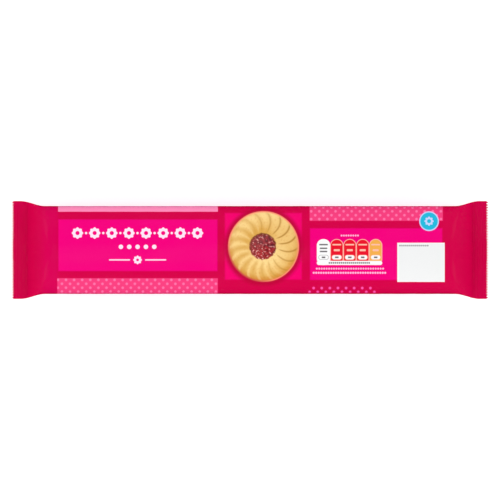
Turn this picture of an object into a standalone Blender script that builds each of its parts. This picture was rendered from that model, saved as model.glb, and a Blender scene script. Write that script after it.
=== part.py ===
"""Flow-wrapped roll of sandwich biscuits, shut, lying on its back seam with its face up.

The pack is one tube of printed film round a roll of round biscuits. The tube's long seam is
folded flat along the back, and each end is gusseted, pressed flat and cut off in a zigzag.
It is one closed solid: what is inside a shut pack can't be seen, so it isn't modelled.

Lengths are in metres. +X runs along the roll and +Z is up. The origin is the middle of the
footprint, on the surface that the pack lies on.
"""

import math

import bmesh
import bpy

# Driving dimensions
PACK_LENGTH = 0.240
ROLL_DIAMETER = 0.0444
SEAL_WIDTH = 0.0493
SEAL_DEPTH = 0.0078
SEAL_THICKNESS = 0.0006

# Where the film becomes fully round over the end of the roll, measured from the cut edge
SHOULDER_TOP = 0.0205
SHOULDER_CORNER = 0.0165
SHOULDER_SIDE = 0.0190
SHOULDER_FULLNESS = 2.0
GUSSET_FULLNESS = 1.3
FLARE_START = 0.0045
FLARE_END = 0.0168
TUCK_LENGTH = 0.0020

# The crimp pressed into each end seal, and its zigzag cut edge
CRIMP_PITCH = 0.00130
CRIMP_HEIGHT = 0.00024
TOOTH_COUNT = 37
TOOTH_DEPTH = 0.0011

# The long seam, folded flat to lie along the back, is as wide as this many film divisions
SEAM_DIVISIONS = 4
SEAM_THICKNESS = 0.0005

# How finely a quarter of the film is divided, and the roll's shoulder
PANEL_STEPS = 10
GUSSET_STEPS = 5
SHOULDER_STEPS = 13
SHOULDER_CROWDING = 1.25

WELD = 0.000002
SMOOTH_ANGLE = math.radians(28)
FILM_COLOUR = (0.651, 0.0012, 0.0685, 1.0)
FILM_ROUGHNESS = 0.34

# Worked out from the driving dimensions
ROLL_RADIUS = ROLL_DIAMETER / 2
HALF_LENGTH = PACK_LENGTH / 2
HALF_SEAL = SEAL_WIDTH / 2
HALF_THICKNESS = SEAL_THICKNESS / 2
QUARTER_FILM = math.pi / 2 * ROLL_RADIUS
TUCK_DEPTH = QUARTER_FILM - HALF_SEAL
AXIS_HEIGHT = ROLL_RADIUS + SEAM_THICKNESS


def blend(start, end, share):
    return start + (end - start) * share


def clamp(share):
    return min(1.0, max(0.0, share))


def half_width(edge):
    """Half of the pack's width, seen from above, at a distance from its cut edge."""
    share = clamp((edge - FLARE_START) / (FLARE_END - FLARE_START))
    return blend(HALF_SEAL, ROLL_RADIUS, share * share * (3 - 2 * share))


def roundness(edge, arc):
    """How far a line of the film has come from the flat seal, at 0, to the round roll, at 1.

    The arc is the line's distance round the film from the middle of the face, or of the back.
    The film there has furthest to come down to the seal, so it starts from further in. The
    valley of the gusset is the last to open.
    """
    panel = min(1.0, arc / HALF_SEAL)
    gusset = clamp((arc - HALF_SEAL) / TUCK_DEPTH)
    shoulder = blend(SHOULDER_TOP, SHOULDER_CORNER, panel**2)
    shoulder = blend(shoulder, SHOULDER_SIDE, gusset)
    share = clamp((edge - SEAL_DEPTH) / (shoulder - SEAL_DEPTH))
    return 1 - (1 - share) ** blend(SHOULDER_FULLNESS, GUSSET_FULLNESS, gusset)


def film_point(edge, arc, seam=0.0):
    """(y, z) of a point of the film's front right quarter, from the roll's axis.

    The seal takes up the film as far as HALF_SEAL from the middle. The rest is the gusset,
    tucked in at the side, whose valley starts just behind the seal. A seam lies flat on top
    of the film, by the given thickness.
    """
    tucked = clamp((edge - SEAL_DEPTH) / TUCK_LENGTH)
    beyond = max(0.0, arc - HALF_SEAL)
    flat_y = min(arc, HALF_SEAL) - beyond * tucked
    flat_z = HALF_THICKNESS if arc <= HALF_SEAL else 0.0
    round_y = ROLL_RADIUS * math.sin(arc / ROLL_RADIUS)
    round_z = ROLL_RADIUS * math.cos(arc / ROLL_RADIUS)
    if seam:
        flat_z += seam * tucked
        round_z = ROLL_RADIUS + seam
    share = roundness(edge, arc)
    return blend(flat_y, round_y, share), blend(flat_z, round_z, share)


def half_ring(edge):
    """(y, z) of the film at one distance from the cut edge, down the right side.

    It runs from the middle of the face to the middle of the back. The back is the face's
    mirror image, with the folded seam on it.
    """
    panel = [HALF_SEAL * i / PANEL_STEPS for i in range(PANEL_STEPS + 1)]
    gusset = [HALF_SEAL + TUCK_DEPTH * (i + 1) / GUSSET_STEPS for i in range(GUSSET_STEPS)]
    arcs = panel + gusset
    seam_arcs = panel[: SEAM_DIVISIONS // 2 + 1]
    face = [film_point(edge, arc) for arc in arcs]
    back = [film_point(edge, arc) for arc in arcs[len(seam_arcs) - 1 : -1]]
    seam = [film_point(edge, arc, SEAM_THICKNESS) for arc in seam_arcs]
    ring = face + [(y, -z) for y, z in reversed(back)] + [(y, -z) for y, z in reversed(seam)]
    fit = half_width(edge) / max(y for y, _ in face)
    return [(y * fit, z) for y, z in ring]


def add_row(bm, points):
    """Vertices from (distance from the cut edge, y, height above the axis)."""
    return [bm.verts.new((HALF_LENGTH - edge, y, AXIS_HEIGHT + z)) for edge, y, z in points]


def add_strip(bm, row, next_row):
    """One flat face between two rows, which may have different numbers of points."""
    bm.faces.new(row + next_row[::-1])


def add_roll(bm):
    """The loft from the seal line over the shoulder to the middle of the roll.

    Returns the vertices of its first ring, which is flat.
    """
    edges = [
        blend(SEAL_DEPTH, SHOULDER_TOP, (i / SHOULDER_STEPS) ** SHOULDER_CROWDING)
        for i in range(SHOULDER_STEPS + 1)
    ]
    edges.append(HALF_LENGTH)
    rings = [add_row(bm, [(edge, y, z) for y, z in half_ring(edge)]) for edge in edges]
    for ring, next_ring in zip(rings, rings[1:]):
        for i in range(len(ring) - 1):
            add_strip(bm, ring[i : i + 2], next_ring[i : i + 2])
    return rings[0]


def add_seal(bm, seal_line):
    """The flat seal, from its zigzag edge over the crimp's ridges to the seal line."""
    half_teeth = range(TOOTH_COUNT + 1)
    cut = [(TOOTH_DEPTH * (i % 2), HALF_SEAL * i / TOOTH_COUNT) for i in half_teeth]
    face = add_row(bm, [(edge, y, HALF_THICKNESS) for edge, y in cut])
    back = add_row(bm, [(edge, y, -HALF_THICKNESS) for edge, y in cut])
    for i in range(TOOTH_COUNT):
        add_strip(bm, face[i : i + 2], back[i : i + 2])
    side = [face[-1], back[-1]]

    ridge_rows = round(SEAL_DEPTH / CRIMP_PITCH * 2)
    for i in range(2, ridge_rows):
        edge = CRIMP_PITCH / 2 * i
        width = half_width(edge)
        wave = CRIMP_HEIGHT / 2 * (-1) ** i
        top = add_row(bm, [(edge, y, wave + HALF_THICKNESS) for y in (0.0, width)])
        bottom = add_row(bm, [(edge, y, wave - HALF_THICKNESS) for y in (0.0, width)])
        next_side = [top[-1], bottom[-1]]
        add_strip(bm, face, top)
        add_strip(bm, side, next_side)
        add_strip(bm, back, bottom)
        face, side, back = top, next_side, bottom

    corner = PANEL_STEPS
    other_corner = corner + 2 * GUSSET_STEPS
    add_strip(bm, face, seal_line[: corner + 1])
    add_strip(bm, side, seal_line[corner : other_corner + 1])
    add_strip(bm, back, seal_line[other_corner:][::-1])


def film_material():
    material = bpy.data.materials.new("printed film")
    material.use_nodes = True
    material.diffuse_color = FILM_COLOUR
    shader = material.node_tree.nodes["Principled BSDF"]
    shader.inputs["Base Color"].default_value = FILM_COLOUR
    shader.inputs["Roughness"].default_value = FILM_ROUGHNESS
    shader.inputs["Metallic"].default_value = 0.0
    return material


def make_pack(collection):
    """A quarter of the pack, mirrored to the other side and to the other end."""
    bm = bmesh.new()
    add_seal(bm, add_roll(bm))
    bmesh.ops.remove_doubles(bm, verts=bm.verts, dist=WELD)
    bmesh.ops.recalc_face_normals(bm, faces=bm.faces)
    mesh = bpy.data.meshes.new("sealed_roll_pack")
    bm.to_mesh(mesh)
    bm.free()
    mesh.materials.append(film_material())
    mesh.shade_smooth()
    mesh.set_sharp_from_angle(angle=SMOOTH_ANGLE)

    pack = bpy.data.objects.new("sealed_roll_pack", mesh)
    collection.objects.link(pack)
    mirror = pack.modifiers.new("other side and other end", "MIRROR")
    mirror.use_axis = (True, True, False)
    mirror.use_mirror_merge = True
    mirror.merge_threshold = WELD


for old in list(bpy.data.objects):
    bpy.data.objects.remove(old, do_unlink=True)
pack_collection = bpy.data.collections.new("biscuit_roll_pack")
bpy.context.scene.collection.children.link(pack_collection)
make_pack(pack_collection)
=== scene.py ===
import math
import random

import bmesh
import bpy
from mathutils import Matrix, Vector, noise


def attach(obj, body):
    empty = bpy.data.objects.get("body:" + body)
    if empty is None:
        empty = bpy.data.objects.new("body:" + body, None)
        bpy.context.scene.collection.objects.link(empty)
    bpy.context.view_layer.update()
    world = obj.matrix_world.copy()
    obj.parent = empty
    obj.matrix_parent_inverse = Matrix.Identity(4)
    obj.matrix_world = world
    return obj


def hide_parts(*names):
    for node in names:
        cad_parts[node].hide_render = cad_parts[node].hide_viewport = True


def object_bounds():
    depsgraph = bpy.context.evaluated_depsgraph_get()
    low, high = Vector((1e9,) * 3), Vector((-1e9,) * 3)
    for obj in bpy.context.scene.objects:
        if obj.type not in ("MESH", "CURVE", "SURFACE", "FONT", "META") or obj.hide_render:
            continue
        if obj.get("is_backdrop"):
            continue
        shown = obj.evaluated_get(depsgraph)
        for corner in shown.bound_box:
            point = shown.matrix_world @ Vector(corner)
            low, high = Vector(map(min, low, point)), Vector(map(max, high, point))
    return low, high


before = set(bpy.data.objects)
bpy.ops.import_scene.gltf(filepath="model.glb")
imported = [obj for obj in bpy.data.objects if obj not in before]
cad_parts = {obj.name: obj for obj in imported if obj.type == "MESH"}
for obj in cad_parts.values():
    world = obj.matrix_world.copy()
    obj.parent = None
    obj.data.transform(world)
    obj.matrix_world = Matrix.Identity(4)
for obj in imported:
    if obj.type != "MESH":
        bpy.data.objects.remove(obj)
cad_low, cad_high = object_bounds()


# The camera looks straight down on the pack, as a pack shot does, with the top of the print
# up. It is orthographic, because the photo shows neither end smaller than the other.
PHOTO_WIDTH = 0.25174
CAMERA_HEIGHT = 0.6

camera = bpy.data.objects.new("camera", bpy.data.cameras.new("camera"))
camera.data.type = "ORTHO"
camera.data.ortho_scale = PHOTO_WIDTH
camera.location = (0.0, 0.0, CAMERA_HEIGHT)
bpy.context.scene.collection.objects.link(camera)
bpy.context.scene.camera = camera


# The printed film. A real pack starts as one flat web of thin plastic film, drawn round the
# roll of biscuits into a tube, then gusseted, pressed flat and cut off at both ends. So it
# starts here as one flat grid, and each of its points is moved to where the film ends up.
HALF_LENGTH = cad_high.x
HALF_SEAL = cad_high.y
SEAM_THICKNESS = 0.0005
ROLL_RADIUS = (cad_high.z - SEAM_THICKNESS) / 2
AXIS_HEIGHT = ROLL_RADIUS + SEAM_THICKNESS
QUARTER_FILM = math.pi / 2 * ROLL_RADIUS
TUCK_DEPTH = QUARTER_FILM - HALF_SEAL
FILM_SLACK = 0.00003

SEAL_DEPTH = 0.0078
HALF_SEAL_THICKNESS = 0.00022
TOOTH_COUNT = 37
TOOTH_DEPTH = 0.0011
TOOTH_REACH = 0.0018
CRIMP_PITCH = 0.0013
CRIMP_HEIGHT = 0.00006
CRIMP_FADES = (0.0005, 0.0006)
EDGE_WAVE = 0.00035
EDGE_WAVES = ((1.0, 190, 1.1), (0.5, 410, 2.3))

SHOULDER_TOP = 0.0205
SHOULDER_CORNER = 0.0165
SHOULDER_SIDE = 0.0190
SHOULDER_FULLNESS = 2.0
GUSSET_FULLNESS = 1.3
FLARE_START = 0.0045
FLARE_END = 0.0168
TUCK_LENGTH = 0.0009

PANEL_DIVISIONS = 74
GUSSET_DIVISIONS = 18
CRIMP_DIVISIONS = 8
CUT_ROW = 0.00004
SHOULDER_DIVISIONS = 40
SHOULDER_MARGIN = 0.0010
SHOULDER_CROWDING = 1.25
NEAR_DIVISIONS = 14
NEAR_END = 0.046
NEAR_CROWDING = 1.4
FAR_STEP = 0.0032
WIDTH_SAMPLES = 60
PRINT_CUT = -0.0143
WELD = 1e-7
SHARP_ANGLE = math.radians(42)

CREASE_SEED = 11
CREASES = 11
CREASE_LENGTHS = (0.004, 0.012)
CREASE_DEPTHS = (0.00008, 0.00026)
CREASE_WIDTHS = (0.0006, 0.0013)
CREASE_SLANT = 0.18
CREASE_STRAY = 0.35
SLANT_STRAY = 0.8
CREASE_OPENING = 0.7
CREASE_SHARPNESS = 1.4
CREASE_RISE = 0.15
BISCUIT_PITCH = 0.0126
BISCUIT_DIP = 0.00006
DIP_SHARPNESS = 8
DENT_DEPTH = 0.00007
DENT_SCALE = 55.0
DENT_TURN = 0.02
RELIEF_START = 3


def blend(start, end, share):
    return start + (end - start) * share


def clamp(share):
    return min(1.0, max(0.0, share))


def ease(share):
    share = clamp(share)
    return share * share * (3 - 2 * share)


def half_width(edge):
    """Half of the pack's width, seen from above, at a distance from its cut edge."""
    return blend(HALF_SEAL, ROLL_RADIUS, ease((edge - FLARE_START) / (FLARE_END - FLARE_START)))


def roundness(edge, arc):
    """How far the film has come from the flat seal, at 0, to the round roll, at 1."""
    panel = min(1.0, arc / HALF_SEAL)
    gusset = clamp((arc - HALF_SEAL) / TUCK_DEPTH)
    shoulder = blend(blend(SHOULDER_TOP, SHOULDER_CORNER, panel**2), SHOULDER_SIDE, gusset)
    share = clamp((edge - SEAL_DEPTH) / (shoulder - SEAL_DEPTH))
    return 1 - (1 - share) ** blend(SHOULDER_FULLNESS, GUSSET_FULLNESS, gusset)


def quarter_point(edge, arc, lift=0.0):
    """(y, z) from the roll's axis of the film at an arc from the middle of its face.

    A lift stands the point off the film, level with the roll's top, as the folded seam is.
    """
    tucked = clamp((edge - SEAL_DEPTH) / TUCK_LENGTH)
    beyond = max(0.0, arc - HALF_SEAL)
    flat_y = min(arc, HALF_SEAL) - beyond * tucked
    flat_z = HALF_SEAL_THICKNESS + lift if arc <= HALF_SEAL else 0.0
    radius = ROLL_RADIUS - FILM_SLACK
    round_y = radius * math.sin(arc / ROLL_RADIUS)
    round_z = ROLL_RADIUS + lift if lift else radius * math.cos(arc / ROLL_RADIUS)
    share = roundness(edge, arc)
    return blend(flat_y, round_y, share), blend(flat_z, round_z, share)


def width_fit(edge):
    """What the film's y is scaled by, so that the pack has its true width here."""
    arcs = [QUARTER_FILM * i / WIDTH_SAMPLES for i in range(WIDTH_SAMPLES + 1)] + [HALF_SEAL]
    return half_width(edge) / max(quarter_point(edge, arc)[0] for arc in arcs)


def seal_height(edge, y, end):
    """The seal's ridges, and the slow wave of its free edge, above the roll's middle."""
    inside = ease((SEAL_DEPTH - edge) / CRIMP_FADES[1]) * ease(edge / CRIMP_FADES[0])
    ridges = CRIMP_HEIGHT * math.cos(2 * math.pi * edge / CRIMP_PITCH) * inside
    loose = ease((SEAL_DEPTH - edge) / SEAL_DEPTH)
    wave = sum(share * math.sin(y * turns + lead * end) for share, turns, lead in EDGE_WAVES)
    return ridges + EDGE_WAVE * wave * loose


def end_stations():
    """Distances from the cut edge of the rows of film, from the edge to the middle."""
    seal_rows = round(SEAL_DEPTH / CRIMP_PITCH * CRIMP_DIVISIONS)
    rows = [0.0, CUT_ROW]
    rows += [SEAL_DEPTH * i / seal_rows for i in range(1, seal_rows + 1)]
    reach = SHOULDER_TOP + SHOULDER_MARGIN - SEAL_DEPTH
    share = [(i + 1) / SHOULDER_DIVISIONS for i in range(SHOULDER_DIVISIONS)]
    rows += [SEAL_DEPTH + reach * s**SHOULDER_CROWDING for s in share]
    start = rows[-1]
    share = [(i + 1) / NEAR_DIVISIONS for i in range(NEAR_DIVISIONS)]
    rows += [blend(start, NEAR_END, s**NEAR_CROWDING) for s in share]
    return rows


def film_stations():
    """Every row's x, from the left end to the right, one of them at the print's cut."""
    ends = [HALF_LENGTH - edge for edge in end_stations()]
    inner = ends[-1]
    rows = [-x for x in ends]
    for start, end in ((-inner, PRINT_CUT), (PRINT_CUT, inner)):
        steps = round((end - start) / FAR_STEP)
        rows += [blend(start, end, (i + 1) / steps) for i in range(steps)]
    return rows + ends[::-1][1:]


def film_arcs():
    """Every column's arc from the face's middle, from the back's middle round to it again."""
    panel = [HALF_SEAL * (i + 1) / PANEL_DIVISIONS for i in range(PANEL_DIVISIONS)]
    gusset = [
        HALF_SEAL + TUCK_DEPTH * (i + 1) / GUSSET_DIVISIONS for i in range(2 * GUSSET_DIVISIONS)
    ]
    back = [2 * QUARTER_FILM - arc for arc in panel[::-1][1:]] + [2 * QUARTER_FILM]
    right = panel + gusset + back
    return [-arc for arc in right[::-1]] + [0.0] + right


def film_place(x, arc, fit):
    """Where the film ends up, for its place along the pack and round the roll."""
    edge = HALF_LENGTH - abs(x)
    end = math.copysign(1.0, x)
    from_face = abs(arc)
    on_back = from_face > QUARTER_FILM
    if on_back:
        from_face = 2 * QUARTER_FILM - from_face
    y, z = quarter_point(edge, from_face)
    y *= fit
    if edge == 0.0:
        z = 0.0
    if edge < SEAL_DEPTH:
        z += seal_height(edge, math.copysign(y, arc), end) * (-1 if on_back else 1)
    teeth = min(from_face, HALF_SEAL) / HALF_SEAL * TOOTH_COUNT / 2
    tooth = 1 - abs(2 * (teeth - math.floor(teeth)) - 1)
    notch = TOOTH_DEPTH * tooth * clamp(1 - edge / TOOTH_REACH)
    return Vector((x - end * notch, math.copysign(y, arc), AXIS_HEIGHT + (-z if on_back else z)))


def make_creases(seed):
    """Pleats that fan out from one side of one seal: where, how long, deep, wide, slanted."""
    draw = random.Random(seed)
    spacing = 2 * HALF_SEAL / CREASES
    creases = []
    for i in range(CREASES):
        stray = draw.uniform(-CREASE_STRAY, CREASE_STRAY)
        arc = -HALF_SEAL + spacing * (i + 0.5 + stray)
        long_, deep, wide = (
            draw.uniform(*span) for span in (CREASE_LENGTHS, CREASE_DEPTHS, CREASE_WIDTHS)
        )
        slant = CREASE_SLANT * (arc / HALF_SEAL + draw.uniform(-SLANT_STRAY, SLANT_STRAY))
        creases.append((arc, long_, deep * draw.choice((-1, -1, 1)), wide, slant))
    return creases


def crease_height(creases, edge, arc):
    """How far the pleats lift the film here, or sink it if negative."""
    height = 0.0
    for start, long_, deep, wide, slant in creases:
        along = (edge - SEAL_DEPTH) / long_
        if 0.0 < along < 1.0:
            across = abs(arc - start - slant * (edge - SEAL_DEPTH))
            across /= wide * (CREASE_OPENING + along)
            if across < 1.0:
                lasting = ease(along / CREASE_RISE) * (1 - ease(along))
                height += deep * (1 - across) ** CREASE_SHARPNESS * lasting
    return height


def film_relief(x, arc, creases):
    """How far the film stands off its even shape: pleats, dips between biscuits and dents."""
    edge = HALF_LENGTH - abs(x)
    on_back = abs(arc) > QUARTER_FILM
    from_middle = math.copysign(2 * QUARTER_FILM - abs(arc), arc) if on_back else arc
    height = crease_height(creases[x > 0, on_back], edge, from_middle)
    filled = roundness(edge, min(abs(from_middle), QUARTER_FILM)) ** RELIEF_START
    dip = math.sin(math.pi * x / BISCUIT_PITCH) ** DIP_SHARPNESS
    place = Vector((x, math.cos(arc / ROLL_RADIUS) * DENT_TURN, arc))
    dent = 0.5 + 0.5 * noise.noise(place * DENT_SCALE)
    return height - (BISCUIT_DIP * dip + DENT_DEPTH * dent) * filled


BAKE_MARGIN = 0.004
BAKE_FACE = (0.832, 0.490)
BAKE_UPPER_HALF = 0.502
BAKE_BACKS = (0.848, 0.924)
BAKE_BACK_WIDTH = 0.070


def bake_place(x, arc, middle_x, middle_arc):
    """Where a point of the film goes on the square that its colours are baked to.

    The face goes there in two halves, one above the other, and the back beside them.
    """
    corner = 2 * QUARTER_FILM - HALF_SEAL
    if abs(middle_arc) < corner:
        start = PRINT_CUT if middle_x > PRINT_CUT else -HALF_LENGTH
        across = BAKE_MARGIN + BAKE_FACE[0] * (x - start) / (HALF_LENGTH - PRINT_CUT)
        up = BAKE_MARGIN + BAKE_FACE[1] * (arc + corner) / (2 * corner)
        return across, up + (BAKE_UPPER_HALF if middle_x > PRINT_CUT else 0.0)
    side = BAKE_BACKS[0] if middle_arc < 0 else BAKE_BACKS[1]
    across = side + BAKE_BACK_WIDTH * (abs(arc) - corner) / HALF_SEAL
    up = (x + HALF_LENGTH) / (2 * HALF_LENGTH)
    return across, blend(BAKE_MARGIN, 1 - BAKE_MARGIN, up)


stations = film_stations()
arcs = film_arcs()
film_mesh = bmesh.new()
bmesh.ops.create_grid(
    film_mesh, x_segments=len(stations) - 1, y_segments=len(arcs) - 1, size=1.0
)
film_map = film_mesh.loops.layers.uv.new("film")
bake_map = film_mesh.loops.layers.uv.new("OFBake")
web = {}
for vert in film_mesh.verts:
    station = stations[round((vert.co.x + 1) / 2 * (len(stations) - 1))]
    web[vert] = (station, arcs[round((vert.co.y + 1) / 2 * (len(arcs) - 1))])
for face in film_mesh.faces:
    corners = [web[loop.vert] for loop in face.loops]
    middle_x = sum(x for x, arc in corners) / len(corners)
    middle_arc = sum(arc for x, arc in corners) / len(corners)
    for loop, (x, arc) in zip(face.loops, corners):
        loop[film_map].uv = (x * 1000, arc * 1000)
        loop[bake_map].uv = bake_place(x, arc, middle_x, middle_arc)
fits = {x: width_fit(HALF_LENGTH - abs(x)) for x in stations}
for vert in film_mesh.verts:
    x, arc = web[vert]
    vert.co = film_place(x, arc, fits[x])
bmesh.ops.remove_doubles(film_mesh, verts=film_mesh.verts, dist=WELD)
bmesh.ops.recalc_face_normals(film_mesh, faces=film_mesh.faces)
film_mesh.normal_update()
creases = {
    (at_right, on_back): make_creases(CREASE_SEED + 2 * at_right + on_back)
    for at_right in (False, True)
    for on_back in (False, True)
}
for vert in film_mesh.verts:
    vert.co += vert.normal * film_relief(*web[vert], creases)

film = bpy.data.objects.new("film", bpy.data.meshes.new("film"))
bpy.context.scene.collection.objects.link(film)
film_mesh.to_mesh(film.data)
film_mesh.free()
film.data.shade_smooth()
film.data.set_sharp_from_angle(angle=SHARP_ANGLE)

CRIMSON = (209, 2, 72)
SEAL_CRIMSON = (208, 1, 73)
SHOULDER_TINT_AND_LIGHT = (213, 1, 84)
MAGENTA = (241, 1, 124)
WINDOW_PINK = (241, 2, 109)
LIGHT_PINK = (255, 140, 188)
DOTTED_PINK = (243, 62, 125)
PALE_DOT = (255, 116, 170)
BRIGHT_DOT = (255, 86, 180)
WHITE = (246, 246, 246)
GARLAND_WHITE = (255, 226, 245)
PANEL_WHITE = (237, 238, 238)
FINE_PINK = (255, 178, 218)
ROUNDEL_BLUE = (36, 183, 218)
ROUNDEL_RIM = (196, 208, 250)
LABEL_RED = (231, 20, 44)
LABEL_AMBER = (241, 172, 78)
LABEL_EDGE = (255, 190, 170)
LABEL_GREY = (150, 148, 150)
LABEL_DARK = (104, 98, 104)


def ink(red, green, blue):
    """A printed colour, from its screen values of 0 to 255."""
    shares = [value / 255 for value in (red, green, blue)]
    linear = [s / 12.92 if s <= 0.04045 else ((s + 0.055) / 1.055) ** 2.4 for s in shares]
    return (*linear, 1.0)


def feed(tree, sockets, values):
    """Gives each socket a value of its own, or what another node puts out."""
    for socket, value in zip(sockets, values):
        if isinstance(value, bpy.types.NodeSocket):
            tree.links.new(value, socket)
        else:
            socket.default_value = value


def reckon(tree, operation, *values):
    node = tree.nodes.new("ShaderNodeMath")
    node.operation = operation
    feed(tree, node.inputs, values)
    return node.outputs[0]


def overprint(tree, share, under, over):
    """One ink over another, by a share from 0 to 1."""
    node = tree.nodes.new("ShaderNodeMix")
    node.data_type = "RGBA"
    feed(tree, (node.inputs[0], node.inputs[6], node.inputs[7]), (share, under, over))
    return node.outputs[2]


def ramp(tree, value, start, end):
    """0 up to the start, 1 from the end, and an eased rise between; start may be the larger."""
    node = tree.nodes.new("ShaderNodeMapRange")
    node.interpolation_type = "SMOOTHSTEP"
    feed(tree, node.inputs, (value, start, end, 0.0, 1.0))
    return node.outputs[0]


def grain(tree, across, up, scale, detail=2.0):
    """Soft mottling on the print, from 0 to 1."""
    place = tree.nodes.new("ShaderNodeCombineXYZ")
    feed(tree, place.inputs, (across, up))
    node = tree.nodes.new("ShaderNodeTexNoise")
    feed(tree, (node.inputs["Vector"], node.inputs["Scale"]), (place.outputs[0], scale))
    node.inputs["Detail"].default_value = detail
    return node.outputs["Fac"]


def new_effect(name, takes, gives):
    """A node group with named sockets. Returns it, and the sockets inside it by name."""
    effect = bpy.data.node_groups.new(name, "ShaderNodeTree")
    kinds = {"Film": "NodeSocketVector", "Place": "NodeSocketVector"}
    kinds |= {"Under": "NodeSocketColor", "Ink": "NodeSocketColor", "Colour": "NodeSocketColor"}
    for socket in takes:
        effect.interface.new_socket(
            socket, in_out="INPUT", socket_type=kinds.get(socket, "NodeSocketFloat")
        )
    for socket in gives:
        effect.interface.new_socket(
            socket, in_out="OUTPUT", socket_type=kinds.get(socket, "NodeSocketFloat")
        )
    start = effect.nodes.new("NodeGroupInput").outputs
    end = effect.nodes.new("NodeGroupOutput").inputs
    return effect, start, end


def apply_effect(tree, effect, **values):
    node = tree.nodes.new("ShaderNodeGroup")
    node.node_tree = effect
    feed(tree, [node.inputs[name] for name in values], values.values())
    return node.outputs


# Places on the print are in millimetres across and up from the middle of the face. They are
# as they look from in front, and past the steepest part of the face, as measured on the film.
STEEPEST = math.radians(75)
FILM_RADIUS = ROLL_RADIUS * 1000

print_place, given, result = new_effect("Print place", ["Film"], ["Across", "Up"])
split = print_place.nodes.new("ShaderNodeSeparateXYZ")
print_place.links.new(given["Film"], split.inputs[0])
turn = reckon(print_place, "DIVIDE", split.outputs["Y"], FILM_RADIUS)
steep = reckon(print_place, "ABSOLUTE", turn)
near = reckon(print_place, "SINE", reckon(print_place, "MINIMUM", steep, STEEPEST))
past = reckon(print_place, "MAXIMUM", reckon(print_place, "SUBTRACT", steep, STEEPEST), 0.0)
height = reckon(print_place, "ADD", past, near)
height = reckon(print_place, "MULTIPLY", height, FILM_RADIUS)
up = reckon(print_place, "MULTIPLY", height, reckon(print_place, "SIGN", turn))
for name, value in (("Across", split.outputs["X"]), ("Up", up)):
    print_place.links.new(value, result[name])

printed_field, given, result = new_effect(
    "Printed field",
    ["Under", "Ink", "Across", "Up", "Left", "Right", "Bottom", "Top", "Corner", "Softness"],
    ["Colour"],
)


def past_side(tree, value, low, high, corner):
    """How far a value lies outside a range whose ends are drawn in by the corner."""
    middle = reckon(tree, "MULTIPLY", reckon(tree, "ADD", low, high), 0.5)
    reach = reckon(tree, "MULTIPLY", reckon(tree, "SUBTRACT", high, low), 0.5)
    reach = reckon(tree, "SUBTRACT", reach, corner)
    offset = reckon(tree, "ABSOLUTE", reckon(tree, "SUBTRACT", value, middle))
    return reckon(tree, "SUBTRACT", offset, reach)


def length(tree, first, second):
    squares = reckon(tree, "MULTIPLY_ADD", first, first, reckon(tree, "POWER", second, 2.0))
    return reckon(tree, "SQRT", squares)


wide = past_side(printed_field, given["Across"], given["Left"], given["Right"], given["Corner"])
tall = past_side(printed_field, given["Up"], given["Bottom"], given["Top"], given["Corner"])
outer = length(
    printed_field,
    reckon(printed_field, "MAXIMUM", wide, 0.0),
    reckon(printed_field, "MAXIMUM", tall, 0.0),
)
inner = reckon(printed_field, "MAXIMUM", wide, tall)
inner = reckon(printed_field, "MINIMUM", inner, 0.0)
outside = reckon(printed_field, "ADD", outer, inner)
outside = reckon(printed_field, "SUBTRACT", outside, given["Corner"])
half_soft = reckon(printed_field, "MULTIPLY", given["Softness"], 0.5)
share = ramp(printed_field, outside, half_soft, reckon(printed_field, "MULTIPLY", half_soft, -1.0))
printed_field.links.new(
    overprint(printed_field, share, given["Under"], given["Ink"]), result["Colour"]
)

printed_dots, given, result = new_effect(
    "Printed dots",
    ["Under", "Ink", "Across", "Up", "First", "Row", "Left", "Right", "Bottom", "Top"],
    ["Colour"],
)
DOT_PITCH = 4.08
DOT_ROWS = 3.94
DOT_RADIUS = 0.62
DOT_SOFTNESS = 0.6


def nearest_dot(tree, given, shift):
    """The distance to the nearest dot of every second row."""
    pitches = reckon(tree, "SUBTRACT", given["Across"], given["First"])
    pitches = reckon(tree, "MULTIPLY_ADD", pitches, 1 / DOT_PITCH, shift)
    rows = reckon(tree, "SUBTRACT", given["Up"], given["Row"])
    rows = reckon(tree, "MULTIPLY_ADD", rows, 1 / DOT_ROWS, shift)
    across = reckon(tree, "SUBTRACT", pitches, reckon(tree, "ROUND", pitches))
    up = reckon(tree, "SUBTRACT", rows, reckon(tree, "ROUND", rows))
    across = reckon(tree, "MULTIPLY", across, DOT_PITCH)
    return length(tree, across, reckon(tree, "MULTIPLY", up, DOT_ROWS))


def within(tree, value, low, high):
    above = reckon(tree, "GREATER_THAN", value, low)
    return reckon(tree, "MULTIPLY", above, reckon(tree, "LESS_THAN", value, high))


distance = reckon(
    printed_dots,
    "MINIMUM",
    nearest_dot(printed_dots, given, 0.0),
    nearest_dot(printed_dots, given, 0.5),
)
share = ramp(
    printed_dots, distance, DOT_RADIUS + DOT_SOFTNESS / 2, DOT_RADIUS - DOT_SOFTNESS / 2
)
share = reckon(
    printed_dots,
    "MULTIPLY",
    share,
    within(printed_dots, given["Across"], given["Left"], given["Right"]),
)
share = reckon(
    printed_dots, "MULTIPLY", share, within(printed_dots, given["Up"], given["Bottom"], given["Top"])
)
printed_dots.links.new(
    overprint(printed_dots, share, given["Under"], given["Ink"]), result["Colour"]
)

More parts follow.
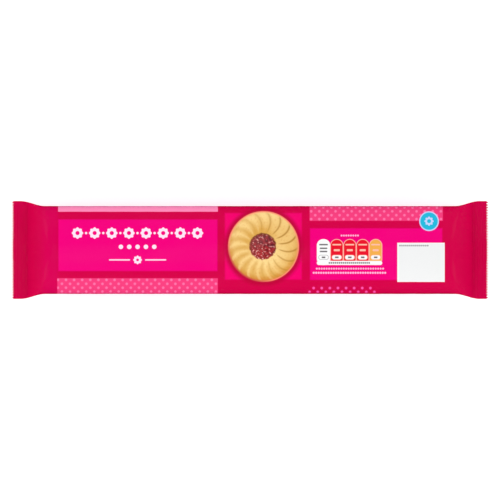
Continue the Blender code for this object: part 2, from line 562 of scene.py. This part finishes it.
printed_rosettes, given, result = new_effect(
    "Printed rosettes",
    ["Under", "Ink", "Across", "Up", "First", "Row", "Pitch", "Count", "Size", "Scallop", "Hole"],
    ["Colour"],
)
SCALLOPS = 8
ROSETTE_SOFTNESS = 0.22
number = reckon(printed_rosettes, "SUBTRACT", given["Across"], given["First"])
number = reckon(printed_rosettes, "DIVIDE", number, given["Pitch"])
last = reckon(printed_rosettes, "SUBTRACT", given["Count"], 1.0)
number = reckon(printed_rosettes, "MINIMUM", reckon(printed_rosettes, "ROUND", number), last)
number = reckon(printed_rosettes, "MAXIMUM", number, 0.0)
middle = reckon(printed_rosettes, "MULTIPLY_ADD", number, given["Pitch"], given["First"])
across = reckon(printed_rosettes, "SUBTRACT", given["Across"], middle)
up = reckon(printed_rosettes, "SUBTRACT", given["Up"], given["Row"])
distance = length(printed_rosettes, across, up)
turn = reckon(printed_rosettes, "ARCTAN2", up, across)
wave = reckon(printed_rosettes, "COSINE", reckon(printed_rosettes, "MULTIPLY", turn, SCALLOPS))
rim = reckon(printed_rosettes, "MULTIPLY_ADD", wave, given["Scallop"], given["Size"])
past = reckon(printed_rosettes, "SUBTRACT", distance, rim)
share = ramp(printed_rosettes, past, ROSETTE_SOFTNESS / 2, -ROSETTE_SOFTNESS / 2)
past = reckon(printed_rosettes, "SUBTRACT", distance, given["Hole"])
hole = ramp(printed_rosettes, past, -ROSETTE_SOFTNESS / 2, ROSETTE_SOFTNESS / 2)
share = reckon(printed_rosettes, "MULTIPLY", share, hole)
printed_rosettes.links.new(
    overprint(printed_rosettes, share, given["Under"], given["Ink"]), result["Colour"]
)

# The biscuit that is pictured on the film: petals that curl round a middle of jam.
BISCUIT_PLACE = (6.8, 1.76)
BISCUIT_SIZE = 17.84
CREST_RING = 0.68
JAM_PLACE = (6.4, 1.81)
JAM_SIZE = 6.75
PETALS = 17
PETAL_CURL = math.radians(76)
PETAL_WAIST = 0.60
PETAL_SHIFT = math.radians(2.6)
PETAL_PHASE = -0.01
LIGHT_TURN = math.radians(115)
DIM_TURN = math.radians(230)
BROWN_TURN = math.radians(252)
SOFT_TURN = math.radians(198)
LINE_TURN = math.radians(17)
SHIFT_TURN = math.radians(12)
JAM_RIM_TURN = math.radians(270)
HAZE_TURN = math.radians(115)
SHADOW_RING = (1.03, 1.19)
BISCUIT_PALE = (250, 215, 143)
BISCUIT_TROUGH = (212, 160, 72)
BISCUIT_GOLD = (222, 169, 82)
BISCUIT_BROWN = (207, 126, 48)
GROOVE_BROWN = (172, 120, 42)
BISCUIT_RIM = (252, 140, 114)
DIM_RIM = (182, 52, 52)
JAM_DARK = (86, 12, 26)
JAM_RED = (160, 40, 48)
JAM_PINK = (206, 70, 66)
JAM_PURPLE = (136, 76, 80)
JAM_LIGHT = (254, 182, 174)
JAM_RIM = (124, 66, 36)
SHADOW_CRIMSON = (186, 6, 56)

pictured_biscuit, given, result = new_effect(
    "Pictured biscuit", ["Under", "Across", "Up"], ["Colour"]
)
tree = pictured_biscuit
across = reckon(tree, "SUBTRACT", given["Across"], BISCUIT_PLACE[0])
up = reckon(tree, "SUBTRACT", given["Up"], BISCUIT_PLACE[1])
out = reckon(tree, "DIVIDE", length(tree, across, up), BISCUIT_SIZE)
turn = reckon(tree, "ARCTAN2", up, across)


def facing(direction):
    """1 on the biscuit's side in this direction, and -1 on the other side."""
    return reckon(tree, "COSINE", reckon(tree, "SUBTRACT", turn, direction))


def masked(*shares):
    """Shares multiplied together."""
    product = shares[0]
    for share in shares[1:]:
        product = reckon(tree, "MULTIPLY", product, share)
    return product


from_waist = reckon(tree, "SUBTRACT", out, PETAL_WAIST)
turned = reckon(tree, "MULTIPLY_ADD", masked(from_waist, from_waist), -PETAL_CURL, turn)
turned = reckon(tree, "MULTIPLY_ADD", facing(SHIFT_TURN), PETAL_SHIFT, turned)
petal = reckon(tree, "MULTIPLY_ADD", turned, PETALS / (2 * math.pi), PETAL_PHASE)
petal = reckon(tree, "FRACT", reckon(tree, "ADD", petal, float(PETALS)))
from_groove = reckon(tree, "ABSOLUTE", reckon(tree, "SUBTRACT", petal, 0.5))
fluted = masked(ramp(tree, out, 0.38, 0.52), ramp(tree, out, 0.99, 0.91))
speckle = grain(tree, given["Across"], given["Up"], 0.9, 4.0)
mottle = grain(tree, given["Across"], given["Up"], 0.16, 2.0)

# The ring rises from the jam to its crest and falls to the rim, lit from the upper left.
slope = reckon(tree, "MULTIPLY_ADD", out, 1 / 0.22, -CREST_RING / 0.22)
slope = reckon(tree, "MINIMUM", reckon(tree, "MAXIMUM", slope, -1.0), 0.9)
pale = reckon(tree, "MULTIPLY_ADD", masked(facing(LIGHT_TURN), slope), 0.56, 0.28)
pale = reckon(tree, "MULTIPLY_ADD", mottle, 0.5, pale)
colour = overprint(tree, pale, ink(*BISCUIT_GOLD), ink(*BISCUIT_PALE))
dim_side = reckon(tree, "MULTIPLY_ADD", facing(BROWN_TURN), 0.5, 0.5)
browned = masked(ramp(tree, out, 0.80, 0.97), dim_side, 0.9)
colour = overprint(tree, browned, colour, ink(*BISCUIT_BROWN))

soft_side = reckon(tree, "MULTIPLY_ADD", facing(SOFT_TURN), 0.41, 0.43)
trough = masked(ramp(tree, from_groove, 0.36, 0.04), fluted, soft_side, 0.65)
colour = overprint(tree, trough, colour, ink(*BISCUIT_TROUGH))
crest = masked(ramp(tree, from_groove, 0.28, 0.46), fluted, soft_side, 0.7)
colour = overprint(tree, crest, colour, ink(*BISCUIT_PALE))
line_side = reckon(tree, "MULTIPLY_ADD", facing(LINE_TURN), 0.46, 0.46)
line = masked(ramp(tree, from_groove, 0.17, 0.0), fluted, line_side, line_side)
colour = overprint(tree, line, colour, ink(*GROOVE_BROWN))
rubbed = masked(ramp(tree, speckle, 0.50, 0.75), 0.3)
colour = overprint(tree, rubbed, colour, ink(*BISCUIT_BROWN))

jam_across = reckon(tree, "SUBTRACT", given["Across"], JAM_PLACE[0])
jam_up = reckon(tree, "SUBTRACT", given["Up"], JAM_PLACE[1])
jam_out = length(tree, jam_across, jam_up)
ragged = grain(tree, given["Across"], given["Up"], 0.75, 3.0)
jam_out = reckon(tree, "MULTIPLY_ADD", ragged, 1.4, reckon(tree, "SUBTRACT", jam_out, 0.7))
crystals = grain(tree, given["Up"], given["Across"], 0.66, 2.0)
jam = overprint(tree, ramp(tree, crystals, 0.41, 0.59), ink(*JAM_DARK), ink(*JAM_RED))
lit_jam = reckon(tree, "MULTIPLY_ADD", facing(DIM_TURN), 0.5, 0.5)
jam = overprint(tree, masked(lit_jam, 0.35), jam, ink(*JAM_PINK))
jam_haze = reckon(tree, "MULTIPLY_ADD", facing(HAZE_TURN), 0.5, 0.4)
jam = overprint(tree, masked(jam_haze, 0.5), jam, ink(*JAM_PURPLE))
sparkle = grain(tree, given["Across"], given["Up"], 0.86, 1.5)
glints = reckon(tree, "MULTIPLY_ADD", lit_jam, 0.45, 0.45)
glints = masked(ramp(tree, sparkle, 0.55, 0.69), glints)
jam = overprint(tree, glints, jam, ink(*JAM_LIGHT))
rim_side = reckon(tree, "MULTIPLY_ADD", facing(JAM_RIM_TURN), -0.35, 0.5)
rim = masked(ramp(tree, jam_out, JAM_SIZE - 1.5, JAM_SIZE - 0.2), rim_side)
jam = overprint(tree, rim, jam, ink(*JAM_RIM))
jam_share = ramp(tree, jam_out, JAM_SIZE + 0.35, JAM_SIZE - 0.35)
colour = overprint(tree, jam_share, colour, jam)

edge_line = ramp(tree, out, 1 - 1.0 / BISCUIT_SIZE, 1 - 0.2 / BISCUIT_SIZE)
colour = overprint(tree, masked(edge_line, 0.9), colour, ink(*BISCUIT_RIM))
dim_rim = ramp(tree, facing(DIM_TURN), 0.5, 1.0)
dim_rim = masked(dim_rim, ramp(tree, out, 0.93, 0.99), 0.85)
colour = overprint(tree, dim_rim, colour, ink(*DIM_RIM))

shadow = masked(ramp(tree, out, SHADOW_RING[1], SHADOW_RING[0]), 0.95)
under = overprint(tree, shadow, given["Under"], ink(*SHADOW_CRIMSON))
share = ramp(tree, out, 1 + 0.25 / BISCUIT_SIZE, 1 - 0.25 / BISCUIT_SIZE)
tree.links.new(overprint(tree, share, under, colour), result["Colour"])

# Thin film never lies quite smooth: fine crinkles run over it, and its gloss varies with them.
CRINKLE_SCALE = 140.0
SLOW_SCALE = 45.0
SLOW_HEIGHT = 1.5
film_crinkle, given, result = new_effect("Film crinkle", ["Place"], ["Height", "Gloss"])
tree = film_crinkle
crinkle = tree.nodes.new("ShaderNodeTexNoise")
feed(
    tree,
    (crinkle.inputs["Vector"], crinkle.inputs["Scale"], crinkle.inputs["Detail"]),
    (given["Place"], CRINKLE_SCALE, 3.0),
)
crinkle.inputs["Distortion"].default_value = 0.6
slow = tree.nodes.new("ShaderNodeTexNoise")
feed(tree, (slow.inputs["Vector"], slow.inputs["Scale"]), (given["Place"], SLOW_SCALE))
both = reckon(tree, "MULTIPLY_ADD", slow.outputs["Fac"], SLOW_HEIGHT, crinkle.outputs["Fac"])
tree.links.new(reckon(tree, "MULTIPLY", both, 0.4), result["Height"])
tree.links.new(ramp(tree, slow.outputs["Fac"], 0.3, 0.7), result["Gloss"])


FILM_GLOSS = 0.11
FILM_ROUGHNESS = (0.10, 0.15)
CRINKLE_DEPTH = 0.00012


def film_material(name):
    """Satin film: returns the material, its tree and its shader, ready for a colour."""
    material = bpy.data.materials.new(name)
    material.use_nodes = True
    tree = material.node_tree
    shader = tree.nodes["Principled BSDF"]
    shader.inputs["Specular IOR Level"].default_value = FILM_GLOSS
    place = tree.nodes.new("ShaderNodeTexCoord")
    crinkle = apply_effect(tree, film_crinkle, Place=place.outputs["Object"])
    bump = tree.nodes.new("ShaderNodeBump")
    bump.inputs["Strength"].default_value = 0.35
    bump.inputs["Distance"].default_value = CRINKLE_DEPTH
    tree.links.new(crinkle["Height"], bump.inputs["Height"])
    tree.links.new(bump.outputs["Normal"], shader.inputs["Normal"])
    smooth, rough = FILM_ROUGHNESS
    roughness = reckon(tree, "MULTIPLY_ADD", crinkle["Gloss"], rough - smooth, smooth)
    tree.links.new(roughness, shader.inputs["Roughness"])
    return material, tree, shader


printed_film, tree, shader = film_material("printed film")
film_place_node = tree.nodes.new("ShaderNodeUVMap")
film_place_node.uv_map = "film"
place = apply_effect(tree, print_place, Film=film_place_node.outputs[0])
across, up = place["Across"], place["Up"]


def print_field(under, colour, left, right, bottom, top, corner=0.0, softness=0.3):
    return apply_effect(
        tree, printed_field, Under=under, Ink=ink(*colour), Across=across, Up=up,
        Left=left, Right=right, Bottom=bottom, Top=top, Corner=corner, Softness=softness,
    )["Colour"]


def print_dots(under, colour, first, row, left, right, bottom, top):
    return apply_effect(
        tree, printed_dots, Under=under, Ink=ink(*colour), Across=across, Up=up,
        First=first, Row=row, Left=left, Right=right, Bottom=bottom, Top=top,
    )["Colour"]


def print_rosettes(under, colour, first, row, size, pitch=1.0, count=1, scallop=0.0, hole=-1.0):
    return apply_effect(
        tree, printed_rosettes, Under=under, Ink=ink(*colour), Across=across, Up=up,
        First=first, Row=row, Pitch=pitch, Count=count, Size=size, Scallop=scallop, Hole=hole,
    )["Colour"]


LEFT_PANEL = (-96.6, -16.2)
LEFT_MIDDLE = (-96.45, -16.45)
LEFT_DOTTED = (-97.0, -16.2)
RIGHT_PANEL = (30.0, 97.1)
RIGHT_MIDDLE = (30.25, 96.75)
SIDE_REACH = 33.0
SHORT_REACH = 22.4
BACK_BAND = (40.0, 53.0)
ALL_ROUND = (-70.0, 70.0)

colour = ink(*CRIMSON)
for left, right in ((-130.0, -111.0), (111.0, 130.0)):
    colour = print_field(colour, SEAL_CRIMSON, left, right, *ALL_ROUND, softness=4)
# The left shoulder is printed a little more magenta, and a little lighter as painted light falling
# from the left.
colour = print_field(colour, SHOULDER_TINT_AND_LIGHT, -104.5, -80.0, *ALL_ROUND, softness=9)
colour = print_field(colour, CRIMSON, LEFT_PANEL[0], 60.0, *ALL_ROUND, softness=3)
for bottom, top in (BACK_BAND, (-BACK_BAND[1], -BACK_BAND[0])):
    colour = print_field(colour, MAGENTA, LEFT_PANEL[0], RIGHT_PANEL[1], bottom, top)

colour = print_field(colour, LIGHT_PINK, *LEFT_PANEL, 19.34, SIDE_REACH)
colour = print_field(colour, MAGENTA, *LEFT_MIDDLE, -10.6, 15.4, softness=0.9)
colour = print_field(colour, DOTTED_PINK, *LEFT_DOTTED, -SIDE_REACH, -14.28)
colour = print_dots(colour, PALE_DOT, -92.65, -15.1, *LEFT_DOTTED, -SIDE_REACH, -14.28)

colour = print_field(colour, WINDOW_PINK, -12.6, 26.05, -14.9, 18.6, softness=1.2)
colour = apply_effect(tree, pictured_biscuit, Under=colour, Across=across, Up=up)["Colour"]

colour = print_field(colour, DOTTED_PINK, *RIGHT_PANEL, 14.74, SIDE_REACH)
colour = print_dots(colour, PALE_DOT, 30.82, 15.6, *RIGHT_PANEL, 14.74, SIDE_REACH)
colour = print_field(colour, MAGENTA, *RIGHT_MIDDLE, -15.1, 10.92, softness=0.9)
colour = print_dots(colour, BRIGHT_DOT, 32.05, -19.2, 29.0, 63.5, -SHORT_REACH, -18.0)

# A garland of rosettes, with a dotted rule and a small rosette between rules under it.
GARLAND_ROW = 8.55
GARLAND_PITCH = 8.63
colour = print_rosettes(
    colour, GARLAND_WHITE, -86.85, GARLAND_ROW, 2.65, GARLAND_PITCH, 8, scallop=0.24, hole=1.05
)
colour = print_rosettes(colour, GARLAND_WHITE, -82.53, GARLAND_ROW, 0.60, GARLAND_PITCH, 7)
colour = print_rosettes(colour, GARLAND_WHITE, -65.0, 1.6, 1.12, 4.2, 5)
for left, right in ((-71.0, -60.4), (-52.8, -42.2)):
    colour = print_field(colour, GARLAND_WHITE, left, right, -5.3, -4.7, corner=0.3)
colour = print_rosettes(colour, GARLAND_WHITE, -56.6, -5.0, 2.0, scallop=0.2, hole=0.7)

# A label of five lozenges on a base, with fine dotted rules above and below it.
LOZENGE_SIDES = (33.65, 40.4, 47.0, 53.5, 60.0, 66.55)
LOZENGE_INKS = (WHITE, LABEL_RED, LABEL_RED, LABEL_RED, LABEL_AMBER)
WHITE_RULES = ((2.35, 3.05, 2.2), (0.5, 1.2, 1.9), (-1.1, -0.4, 1.9))
COLOURED_RULES = ((2.35, 3.05, 2.2), (-0.6, 0.4, 1.5))
for left, right, lozenge in zip(LOZENGE_SIDES, LOZENGE_SIDES[1:], LOZENGE_INKS):
    edge = WHITE if lozenge == WHITE else LABEL_EDGE
    rule = LABEL_DARK if lozenge == WHITE else LABEL_EDGE
    rules = WHITE_RULES if lozenge == WHITE else COLOURED_RULES
    middle = (left + right) / 2
    colour = print_field(colour, edge, left, right, -7.6, 5.5, corner=3.2)
    colour = print_field(colour, lozenge, left + 0.3, right - 0.3, -7.3, 5.2, corner=2.9)
    for low, high, reach in rules:
        colour = print_field(colour, rule, middle - reach, middle + reach, low, high, corner=0.3)
    pill_rim = LABEL_GREY if lozenge == WHITE else LABEL_EDGE
    colour = print_field(colour, pill_rim, left + 0.8, right - 0.8, -4.9, -2.5, corner=1.15)
    colour = print_field(colour, WHITE, left + 1.0, right - 1.0, -4.7, -2.7, corner=1.0)
    colour = print_field(colour, LABEL_DARK, middle - 0.9, middle + 0.9, -4.1, -3.3, corner=0.2)
colour = print_field(
    colour, WHITE, LOZENGE_SIDES[0], LOZENGE_SIDES[-1], -7.55, -5.5, corner=1.0
)
colour = print_rosettes(colour, LABEL_DARK, 40.0, -6.5, 0.42, 1.0, 21)
colour = print_rosettes(colour, FINE_PINK, 46.1, 7.3, 0.46, 1.18, 8)
colour = print_rosettes(colour, FINE_PINK, 33.65, -9.4, 0.48, 1.235, 28)
colour = print_rosettes(colour, FINE_PINK, 32.1, -11.5, 0.52, 1.24, 30)

ROUNDEL_PLACE = (90.15, 14.55)
colour = print_rosettes(colour, ROUNDEL_RIM, *ROUNDEL_PLACE, 4.95)
colour = print_rosettes(colour, ROUNDEL_BLUE, *ROUNDEL_PLACE, 4.40)
colour = print_rosettes(colour, ROUNDEL_RIM, *ROUNDEL_PLACE, 2.1, scallop=0.25, hole=1.0)
colour = print_field(colour, WHITE, 74.17, 98.0, -16.08, 3.64)
colour = print_field(colour, PANEL_WHITE, 74.65, 97.5, -15.6, 3.15)
colour = print_rosettes(colour, LABEL_GREY, 75.5, 2.2, 0.40, 1.0, 15)
tree.links.new(colour, shader.inputs["Base Color"])
film.data.materials.append(printed_film)

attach(film, "root")
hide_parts("sealed_roll_pack")


# The back seam. The tube's two long edges are sealed face to face in a fin, which is folded
# flat against the back and caught in both end seals. It is what the pack lies on.
SEAM_WIDTH = 0.0098
SEAM_DIVISIONS = 28
SEAM_ROOT = 0.0012
SEAM_FILM = 0.00022
SEAM_RIDGE = 0.00003
SEAM_LIFT = 0.00044
SEAM_INSET = 0.0007
SEAM_GAP = 0.00012
SEAM_RIDGES = 9
ROOT_PRESS = 0.9
PRESS_START = 0.002
PRESS_LENGTH = 0.004


def seam_place(x, arc, fit):
    """Where the fin ends up, on the underside; its root, at one edge, meets the film."""
    edge = HALF_LENGTH - abs(x)
    y, z = quarter_point(edge, abs(arc), SEAM_LIFT)
    film_y, film_z = quarter_point(edge, abs(arc))
    root = 1 - ease((arc + SEAM_WIDTH / 2) / SEAM_ROOT)
    pressed = ease((SEAL_DEPTH + PRESS_START - edge) / PRESS_LENGTH)
    z = blend(z, film_z + SEAM_GAP, max(root * ROOT_PRESS, pressed))
    y = math.copysign(film_y * fit, arc)
    if edge < SEAL_DEPTH:
        z -= seal_height(edge, y, math.copysign(1.0, x))
    ridge = SEAM_RIDGE * math.cos(arc / SEAM_WIDTH * SEAM_RIDGES * 2 * math.pi) * (1 - root)
    return Vector((x, y, AXIS_HEIGHT - z + ridge))


seam_mesh = bmesh.new()
seam_stations = [x for x in stations if abs(x) <= HALF_LENGTH - SEAM_INSET]
bmesh.ops.create_grid(
    seam_mesh, x_segments=len(seam_stations) - 1, y_segments=SEAM_DIVISIONS, size=1.0
)
for vert in seam_mesh.verts:
    x = seam_stations[round((vert.co.x + 1) / 2 * (len(seam_stations) - 1))]
    vert.co = seam_place(x, vert.co.y * SEAM_WIDTH / 2, fits[x])
bmesh.ops.recalc_face_normals(seam_mesh, faces=seam_mesh.faces)
if sum(face.normal.z for face in seam_mesh.faces) > 0:
    bmesh.ops.reverse_faces(seam_mesh, faces=seam_mesh.faces)
bmesh.ops.solidify(seam_mesh, geom=seam_mesh.faces[:], thickness=SEAM_FILM)
bmesh.ops.recalc_face_normals(seam_mesh, faces=seam_mesh.faces)

back_seam = bpy.data.objects.new("back_seam", bpy.data.meshes.new("back_seam"))
bpy.context.scene.collection.objects.link(back_seam)
seam_mesh.to_mesh(back_seam.data)
seam_mesh.free()
back_seam.data.shade_smooth()
back_seam.data.set_sharp_from_angle(angle=SHARP_ANGLE)

seam_film, tree, shader = film_material("seam film")
shader.inputs["Base Color"].default_value = ink(*SEAL_CRIMSON)
back_seam.data.materials.append(seam_film)
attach(back_seam, "root")
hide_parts("sealed_roll_pack")


# The floor is a plain white card. It bounces light like any card, and the camera sees it a
# little overexposed, as the photo's background is.
FLOOR_SIZE = 3.0
CARD_WHITE = (0.75, 0.75, 0.75, 1.0)
CARD_LIGHT = 0.17
CARD_GLOW = 0.36

floor_mesh = bmesh.new()
bmesh.ops.create_grid(floor_mesh, x_segments=1, y_segments=1, size=FLOOR_SIZE)
floor = bpy.data.objects.new("floor", bpy.data.meshes.new("floor"))
bpy.context.scene.collection.objects.link(floor)
floor_mesh.to_mesh(floor.data)
floor_mesh.free()
card = bpy.data.materials.new("white card")
card.use_nodes = True
tree = card.node_tree
shader = tree.nodes["Principled BSDF"]
shader.inputs["Base Color"].default_value = CARD_WHITE
shader.inputs["Roughness"].default_value = 0.9
shader.inputs["Specular IOR Level"].default_value = 0.0
shader.inputs["Emission Color"].default_value = (1.0, 1.0, 1.0, 1.0)
path = tree.nodes.new("ShaderNodeLightPath")
seen = reckon(tree, "MULTIPLY_ADD", path.outputs["Is Camera Ray"], CARD_LIGHT, CARD_GLOW)
tree.links.new(seen, shader.inputs["Emission Strength"])
floor.data.materials.append(card)
floor.visible_glossy = False
floor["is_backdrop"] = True


# The light is an even white tent and one soft lamp. The film doesn't mirror them, as in a
# polarised pack shot, but low soft boxes all round give its sides and shoulders a sheen.
TENT_TOP = 0.70
TENT_SIDES = 1.30
LAMP_PLACE = Vector((-0.12, -0.18, 1.15))
LAMP_SIZE = 0.8
LAMP_POWER = 2.6
SHEEN_ANGLES = (38, 142, 218, 322)
SHEEN_DISTANCE = 1.3
SHEEN_HEIGHT = 0.42
SHEEN_SIZE = (1.0, 0.5)
SHEEN_POWER = 0.8

world = bpy.data.worlds.new("tent")
bpy.context.scene.world = world
world.use_nodes = True
tree = world.node_tree
background = tree.nodes["Background"]
background.inputs["Color"].default_value = (1.0, 1.0, 1.0, 1.0)
direction = tree.nodes.new("ShaderNodeTexCoord")
split = tree.nodes.new("ShaderNodeSeparateXYZ")
tree.links.new(direction.outputs["Generated"], split.inputs[0])
strength = reckon(tree, "MULTIPLY_ADD", split.outputs["Z"], TENT_TOP - TENT_SIDES, TENT_SIDES)
tree.links.new(strength, background.inputs["Strength"])
world.cycles_visibility.glossy = False


def add_lamp(name, place, size, power):
    lamp = bpy.data.objects.new(name, bpy.data.lights.new(name, "AREA"))
    lamp.data.shape = "RECTANGLE"
    lamp.data.size, lamp.data.size_y = size
    lamp.data.energy = power
    lamp.location = place
    lamp.rotation_euler = place.to_track_quat("Z", "Y").to_euler()
    bpy.context.scene.collection.objects.link(lamp)
    return lamp


add_lamp("lamp", LAMP_PLACE, (LAMP_SIZE, LAMP_SIZE), LAMP_POWER).visible_glossy = False
for degrees in SHEEN_ANGLES:
    angle = math.radians(degrees)
    place = Vector((math.cos(angle), math.sin(angle), 0.0)) * SHEEN_DISTANCE
    place.z = SHEEN_HEIGHT
    sheen = add_lamp(f"sheen_{degrees}", place, SHEEN_SIZE, SHEEN_POWER)
    sheen.visible_diffuse = False

bpy.context.scene.view_settings.view_transform = "Standard"

low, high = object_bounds()
